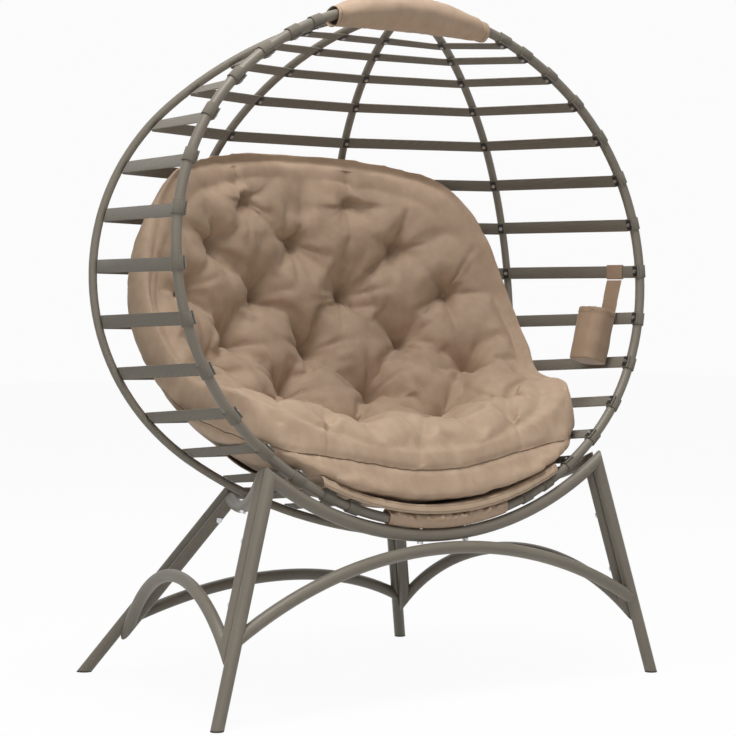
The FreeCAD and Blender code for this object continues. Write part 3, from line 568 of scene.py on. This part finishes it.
def gather_rim(piece, line):
    """Draw in the rim's seam and pleat the cloth, more below it than above."""
    tree = line_tree(line)
    mesh = piece.data
    points = points_of(mesh)
    normals = points_of(mesh, "normal")
    for index, point in enumerate(points):
        spot, _, gap = tree.find(point)
        if gap > 3 * PLEAT_REACH:
            continue
        groove = SEAM_DEPTH * math.exp(-(gap / SEAM_WIDTH) ** 2)
        share = 1.0 if point[2] < spot.z else PLEAT_ABOVE
        pleat = two_noises(Vector((spot.x, spot.y, 0.0)) * PLEATS_PER_METRE, 2.3)
        pleat *= share * PLEAT_HEIGHT * math.exp(-gap / PLEAT_REACH) * min(1.0, gap / SEAM_WIDTH)
        points[index] += normals[index] * (pleat - groove)
    set_points(mesh, points)


def seam_cord(name, line, cover):
    """A sewn line that lies on the cover along given points."""
    skin = BVHTree.FromObject(cover, bpy.context.evaluated_depsgraph_get())
    curve = bpy.data.curves.new(name, "CURVE")
    curve.dimensions = "3D"
    curve.bevel_depth = SEAM_THREAD_RADIUS
    curve.bevel_resolution = 1
    run = curve.splines.new("POLY")
    run.points.add(len(line) - 1)
    for point, spot in zip(run.points, line):
        place, facing, _, _ = skin.find_nearest(spot)
        point.co = (*(place + facing * SEAM_THREAD_RADIUS * 0.3), 1.0)
    holder = new_piece(name + "_line", curve)
    mesh = bpy.data.meshes.new_from_object(holder.evaluated_get(bpy.context.evaluated_depsgraph_get()))
    bpy.data.objects.remove(holder)
    cord = new_piece(name, mesh)
    smooth(cord)
    return cord


def make_cushion():
    buttons = button_places()
    piece = remeshed("tufted_cushion", "cushion", CUSHION_VOXEL)
    set_points(piece.data, level_dimples(points_of(piece.data), buttons))
    rounded(piece, CUSHION_ROUNDING)
    swell(piece, buttons)
    finer = piece.modifiers.new("finer", "SUBSURF")
    finer.levels = finer.render_levels = 1
    apply_modifiers(piece)
    smooth(piece)
    sew(piece, buttons)
    plump_front(piece)
    set_points(piece.data, spread_top(points_of(piece.data)))
    line = rim_line(piece)
    gather_rim(piece, line)
    cord = seam_cord("cushion_seam", line, piece)
    finish_piece(piece, "chair", "cushion_fabric", CUSHION_CLOTH, "cushion")
    finish_piece(cord, "chair", "cushion_fabric", SEAM_THREAD)


# Seat panel: a hemmed sheet stretched under the cushion, its front lip hanging to the hoop
PANEL_HALF = 283.0
PANEL_COLUMNS = 64
PANEL_ROWS = 48
PANEL_EYE = (150.0, -100.0)
PANEL_TICKS = range(-110, 170)
PANEL_TICK = math.radians(0.5)
PANEL_HALF_THICK = 0.0015
PANEL_CLOTH_THICK = 0.0022
# The lip goes back and down by these steps, in millimetres
LIP_STEPS = ((-3.0, -5.0), (-1.5, -6.0), (0.0, -6.0))


def panel_column(skin, x):
    """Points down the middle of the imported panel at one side-to-side place, front to back."""
    eye = in_ball(x, *PANEL_EYE)
    hits = []
    for tick in PANEL_TICKS:
        angle = tick * PANEL_TICK
        aim = PLACE.to_3x3() @ Vector((0.0, math.sin(angle), -math.cos(angle)))
        place = skin.ray_cast(eye, aim)[0]
        if place:
            hits.append(place + aim * PANEL_HALF_THICK)
    return hits


def make_panel():
    skin = BVHTree.FromObject(nodes["seat_panel"], bpy.context.evaluated_depsgraph_get())
    shell = bmesh.new()
    hem = shell.verts.layers.float.new("hem")
    bmesh.ops.create_grid(shell, x_segments=PANEL_COLUMNS, y_segments=PANEL_ROWS, size=1.0)
    columns = {}
    for vert in shell.verts:
        x = round(vert.co.x * PANEL_HALF, 3)
        if x not in columns:
            columns[x] = panel_column(skin, x)
        hits = columns[x]
        where = (vert.co.y + 1) / 2 * (len(hits) - 1)
        low = min(int(where), len(hits) - 2)
        vert.co = hits[low].lerp(hits[low + 1], where - low)
    first = {tuple(hits[0]) for hits in columns.values()}
    lip = [edge for edge in shell.edges if edge.is_boundary
           and all(min((vert.co - Vector(spot)).length for spot in first) < 1e-6 for vert in edge.verts)]
    for vert in shell.verts:
        vert[hem] = 1.0
    drop = -sum(step[1] for step in LIP_STEPS) * MM
    for edge in lip:
        for vert in edge.verts:
            vert[hem] = drop
    fall = drop
    for back, down in LIP_STEPS:
        made = bmesh.ops.extrude_edge_only(shell, edges=lip)["geom"]
        fresh = [item for item in made if isinstance(item, bmesh.types.BMVert)]
        lip = [item for item in made if isinstance(item, bmesh.types.BMEdge)]
        fall += down * MM
        for vert in fresh:
            vert.co += PLACE.to_3x3() @ Vector((0.0, back * MM, down * MM))
            vert[hem] = max(fall, 0.0)
    bmesh.ops.recalc_face_normals(shell, faces=shell.faces)
    piece = from_bmesh("seat_panel_sheet", shell)
    smooth(piece)
    thick = piece.modifiers.new("cloth", "SOLIDIFY")
    thick.thickness = PANEL_CLOTH_THICK
    thick.offset = 0.0
    finish_piece(piece, "chair", "panel_fabric", PANEL_CLOTH, "seat_panel")


# Sleeves: the head roll on top of the hoop and the gathered wrap under it
SLEEVE_CLOTH_THICK = 0.0016
# Half length of the head roll, and its reach up, back and forward at its ends and what its middle adds
TOP_HALF = 183.0
TOP_RISE = (19.0, 15.0)
TOP_BACK = (31.0, 54.0)
TOP_FRONT = (13.0, 4.0)
TOP_SINK = 2.0
TOP_HEM = 0.013
HEM_WIDTH = 0.004
# Half length of the lower wrap, how far it sits to one side, its slack, and the stretch flat by the panel
LOW_HALF = 143.0
LOW_SHIFT = 10.0
LOW_SLACK = 2.4
LOW_FLAT_HALF = 82.0


def hoop_height(x):
    """Height of the hoop's top over the ball's middle at a side-to-side place."""
    return HOOP_HALF_HEIGHT - HOOP_CROWN_RADIUS + math.sqrt(HOOP_CROWN_RADIUS ** 2 - x * x)


def wrap(name, columns, rows, shape):
    """A tube of cloth from a grid: shape gives a point for a place along and a turn around."""
    shell = bmesh.new()
    bmesh.ops.create_grid(shell, x_segments=columns, y_segments=rows, size=1.0)
    hem = shell.verts.layers.float.new("hem")
    for vert in shell.verts:
        along, turn = vert.co.x, (vert.co.y + 1) * math.pi
        vert.co, vert[hem] = shape(along, turn)
    bmesh.ops.remove_doubles(shell, verts=shell.verts, dist=0.00001)
    bmesh.ops.recalc_face_normals(shell, faces=shell.faces)
    piece = from_bmesh(name, shell)
    smooth(piece)
    return piece


def top_shape(along, turn):
    """A point of the head roll and its distance from the nearer end."""
    full = 1 - along * along
    rise, back, front = (ends + more * full for ends, more in (TOP_RISE, TOP_BACK, TOP_FRONT))
    x = along * TOP_HALF
    rim = (1 - abs(along)) * TOP_HALF * MM
    crease = noise.noise(Vector((along * 5, math.cos(turn) * 1.5, math.sin(turn) * 1.5)))
    fold = noise.noise(Vector((along * 16, turn * 0.6, 4.0)))
    puff = 1.4 * crease + 0.8 * fold - 1.6 * math.exp(-((rim - TOP_HEM) / HEM_WIDTH) ** 2)
    puff += 1.2 * math.exp(-(rim / HEM_WIDTH) ** 2)
    y = (back - front) / 2 + ((back + front) / 2 + puff) * math.cos(turn)
    z = hoop_height(x) + (rise + puff) * math.sin(turn) - TOP_SINK
    return in_ball(x, y, z), rim


def low_shape(along, turn):
    """A point of the lower wrap, ruffled on top, and its distance from the nearer end."""
    x = along * LOW_HALF + LOW_SHIFT
    rim = (1 - abs(along)) * LOW_HALF * MM
    up = max(0.0, math.sin(turn))
    ruffle = noise.noise(Vector((along * 11, turn * 0.8, 9.0)))
    fine = noise.noise(Vector((along * 27, turn * 1.3, 2.0)))
    reach = HOOP_TUBE_RADIUS + LOW_SLACK + up * max(0.5, 6.0 + 7.0 * ruffle + 4.0 * fine)
    y = reach * math.cos(turn)
    if abs(x) < LOW_FLAT_HALF:
        y = min(y, HOOP_TUBE_RADIUS + 0.1)
    z = reach * math.sin(turn) - hoop_height(x)
    return in_ball(x, y, z), rim


def make_sleeves():
    for name, node, columns, rows, shape, half in (
            ("head_roll_sleeve", "top_sleeve", 96, 96, top_shape, TOP_HALF),
            ("hoop_wrap_sleeve", "bottom_sleeve", 110, 40, low_shape, LOW_HALF)):
        piece = wrap(name, columns, rows, shape)
        thick = piece.modifiers.new("cloth", "SOLIDIFY")
        thick.thickness = SLEEVE_CLOTH_THICK
        thick.offset = -1.0
        finish_piece(piece, "chair", "sleeve_fabric", SLEEVE_CLOTH, node)


def make_pocket():
    """The sewn pouch on its tab, with a hem round the mouth and a slack belly."""
    hinge = Vector(frame["record"]["behaviour"]["joints"][0]["pos_m"])
    piece = remeshed("bottle_pouch", "bottle_pocket", POCKET_VOXEL)
    rounded(piece, 1)
    shell = bmesh.new()
    shell.from_mesh(piece.data)
    shell.normal_update()
    hem = shell.verts.layers.float.new("hem")
    for vert in shell.verts:
        drop = (vert.co - hinge).dot(POCKET_DOWN) - POCKET_MOUTH
        vert[hem] = max(drop, 0.0) if drop > -0.002 else 1.0
        slack = noise.noise(vert.co * 30) * POCKET_SLACK * min(1.0, max(drop, 0.0) / POCKET_SLACK_START)
        band = POCKET_HEM_THICK if 0.0 <= drop < POCKET_HEM else 0.0
        vert.co += vert.normal * (slack + band)
    shell.to_mesh(piece.data)
    shell.free()
    smooth(piece)
    finish_piece(piece, "pocket", "pocket_fabric", POCKET_CLOTH, "bottle_pocket")
    loop = remeshed("pocket_hanger", "pocket_loop", LOOP_VOXEL)
    finish_piece(loop, "chair", "pocket_fabric", POCKET_CLOTH, "pocket_loop")


# Belts: how many there are, the ball's radius that turns angles into woven lengths, and their selvedge
BELT_COUNT = 15
BELT_ROUND = 0.55
BELT_RISE = 0.53
SELVEDGE = 0.0006


def make_straps():
    """Flat belts with rounded selvedges, woven along the run of each one."""
    for index in range(1, BELT_COUNT + 1):
        node = "strap_%02d" % index
        shell = merged_copy(node)
        bmesh.ops.dissolve_limit(shell, angle_limit=0.002, verts=shell.verts, edges=shell.edges)
        weave = shell.loops.layers.uv.new("weave")
        for face in shell.faces:
            for loop in face.loops:
                spot = UNPLACE @ loop.vert.co
                around = math.atan2(spot.x, spot.y)
                up = math.atan2(spot.z, math.hypot(spot.x, spot.y))
                loop[weave].uv = (around * BELT_ROUND, up * BELT_RISE)
        belt = from_bmesh("webbing_belt_%02d" % index, shell)
        edge = belt.modifiers.new("selvedge", "BEVEL")
        edge.width = SELVEDGE
        edge.segments = 2
        edge.limit_method = "ANGLE"
        edge.angle_limit = math.radians(50)
        finish_piece(belt, "chair", "webbing", WEBBING, node)


def dress_nodes():
    """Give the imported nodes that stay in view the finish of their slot."""
    slots = {row["node"]: row["material_slot"] for row in frame["record"]["subparts"]}
    for name, node in nodes.items():
        if slots[name] in SLOT_FINISH:
            wear(node, SLOT_FINISH[slots[name]])


# Stage: pale floor, white surround and soft lamps with place, size and power
LAMPS = (
    ("key", (-0.8, -0.9, 4.4), 1.9, 160.0),
    ("fill", (-2.9, -2.4, 1.5), 2.2, 17.0),
    ("rim", (1.6, 2.6, 3.4), 2.0, 25.0),
)
LAMP_AIM = Vector((0.0, 0.0, 0.65))
FLOOR_GLOW = 0.95
SKY_LIGHT = 0.19
SKY_SEEN = 0.968


def seen_straight(tree):
    """1 for what the camera or a gloss sees, 0 for light that falls on the object."""
    ray = add(tree, "ShaderNodeLightPath").outputs
    return add(tree, "ShaderNodeMath", {0: ray["Is Camera Ray"], 1: ray["Is Glossy Ray"]},
               operation="MAXIMUM").outputs[0]


def make_floor():
    shell = bmesh.new()
    bmesh.ops.create_grid(shell, x_segments=2, y_segments=2, size=15.0)
    floor = from_bmesh("floor", shell)
    material, tree = new_material("pale_floor")
    share = add(tree, "ShaderNodeMath", {0: seen_straight(tree), 1: FLOOR_GLOW}, operation="MULTIPLY")
    matte = add(tree, "ShaderNodeBsdfDiffuse", {"Color": linear("#e9e9e8")})
    glow = add(tree, "ShaderNodeEmission", {"Color": (1, 1, 1, 1), "Strength": 1.0})
    mix = add(tree, "ShaderNodeMixShader", {0: share.outputs[0], 1: matte.outputs[0], 2: glow.outputs[0]})
    add(tree, "ShaderNodeOutputMaterial", {"Surface": mix.outputs[0]})
    wear(floor, material)


def make_sky():
    world = bpy.data.worlds.new("studio")
    bpy.context.scene.world = world
    world.use_nodes = True
    tree = world.node_tree
    tree.nodes.clear()
    level = add(tree, "ShaderNodeMapRange", {0: seen_straight(tree), 3: SKY_LIGHT, 4: SKY_SEEN})
    sky = add(tree, "ShaderNodeBackground", {"Color": (1, 1, 1, 1), "Strength": level.outputs[0]})
    add(tree, "ShaderNodeOutputWorld", {"Surface": sky.outputs[0]})


def make_lamps():
    for name, place, size, power in LAMPS:
        lamp = bpy.data.lights.new(name, "AREA")
        lamp.size = size
        lamp.energy = power
        holder = bpy.data.objects.new(name, lamp)
        bpy.context.scene.collection.objects.link(holder)
        holder.location = place
        holder.rotation_euler = (LAMP_AIM - Vector(place)).to_track_quat("-Z", "Y").to_euler()
    bpy.context.scene.view_settings.view_transform = "Standard"


# Camera: fitted to the hoop, the feet and the rib crossings in the photograph
CAMERA_PLACE = (-2.560, -3.4302, 0.735)
CAMERA_RIGHT = Vector((0.79828, -0.60228, 0.00398)).normalized()
CAMERA_BACK = Vector((-0.60215, -0.79793, 0.02685)).normalized()
CAMERA_LENS = 104.9
CAMERA_SHIFT = (0.0155, -0.0036)


def make_camera():
    lens = bpy.data.cameras.new("camera")
    lens.sensor_width = 36.0
    lens.lens = CAMERA_LENS
    lens.shift_x, lens.shift_y = CAMERA_SHIFT
    camera = bpy.data.objects.new("camera", lens)
    bpy.context.scene.collection.objects.link(camera)
    up = CAMERA_BACK.cross(CAMERA_RIGHT).normalized()
    turn = Matrix((CAMERA_RIGHT, up, CAMERA_BACK)).transposed().to_4x4()
    camera.matrix_world = Matrix.Translation(CAMERA_PLACE) @ turn
    bpy.context.scene.camera = camera


make_camera()
make_floor()
make_sky()
make_lamps()
dress_nodes()
make_straps()
make_panel()
make_sleeves()
make_pocket()
make_cushion()

bpy.context.scene.frame_set(1)
